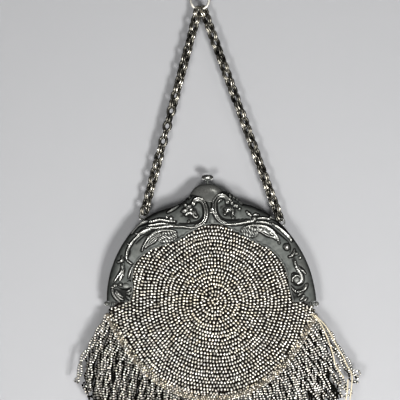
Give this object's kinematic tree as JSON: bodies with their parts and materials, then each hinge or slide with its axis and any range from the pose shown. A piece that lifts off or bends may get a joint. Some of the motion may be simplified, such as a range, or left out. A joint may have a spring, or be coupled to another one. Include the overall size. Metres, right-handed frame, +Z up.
{
  "type": "chatelaine purse",
  "caption": "Round beaded purse in a hinged, stamped silver arch frame with a press-button clasp, a fringe of twisted bead loops and a chain up to the ring it hangs by.",
  "frame": {"origin": "inside top of the hang ring, in the middle of its wire, where the purse hangs", "axes": "+Z up along the hanging purse, +X to the right seen from the front, +Y from the front of the purse to its back"},
  "size_m": [0.1518, 0.0148, 0.2586],
  "materials": {
    "tarnished_silver": "stamped silver, tarnished grey with rubbed ridges",
    "chain_silver": "round silver wire, lightly tarnished",
    "beaded_crochet": "dark crochet covered with small faceted steel beads",
    "seam_thread": "brown-gold twisted thread",
    "cream_thread": "loose cream thread"
  },
  "bodies": {
    "purse": {"hang_ring": "chain_silver", "chain_left": "chain_silver", "chain_right": "chain_silver", "front_frame": "tarnished_silver", "back_frame": "tarnished_silver", "hinge_pin_left": "tarnished_silver", "hinge_pin_right": "tarnished_silver", "catch_cap": "tarnished_silver", "pouch_front": "beaded_crochet", "pouch_back": "beaded_crochet", "rim_edging": "seam_thread", "fringe": "beaded_crochet", "loose_thread_short": "cream_thread", "loose_thread_loop": "cream_thread"},
    "button": {"clasp_button": "tarnished_silver"}
  },
  "joints": [
    {"name": "button_press", "type": "slide", "parent": "purse", "child": "button", "axis": [0, 0, -1], "range_m": [0, 0.0012], "stiffness_N_per_m": 600}
  ]
}
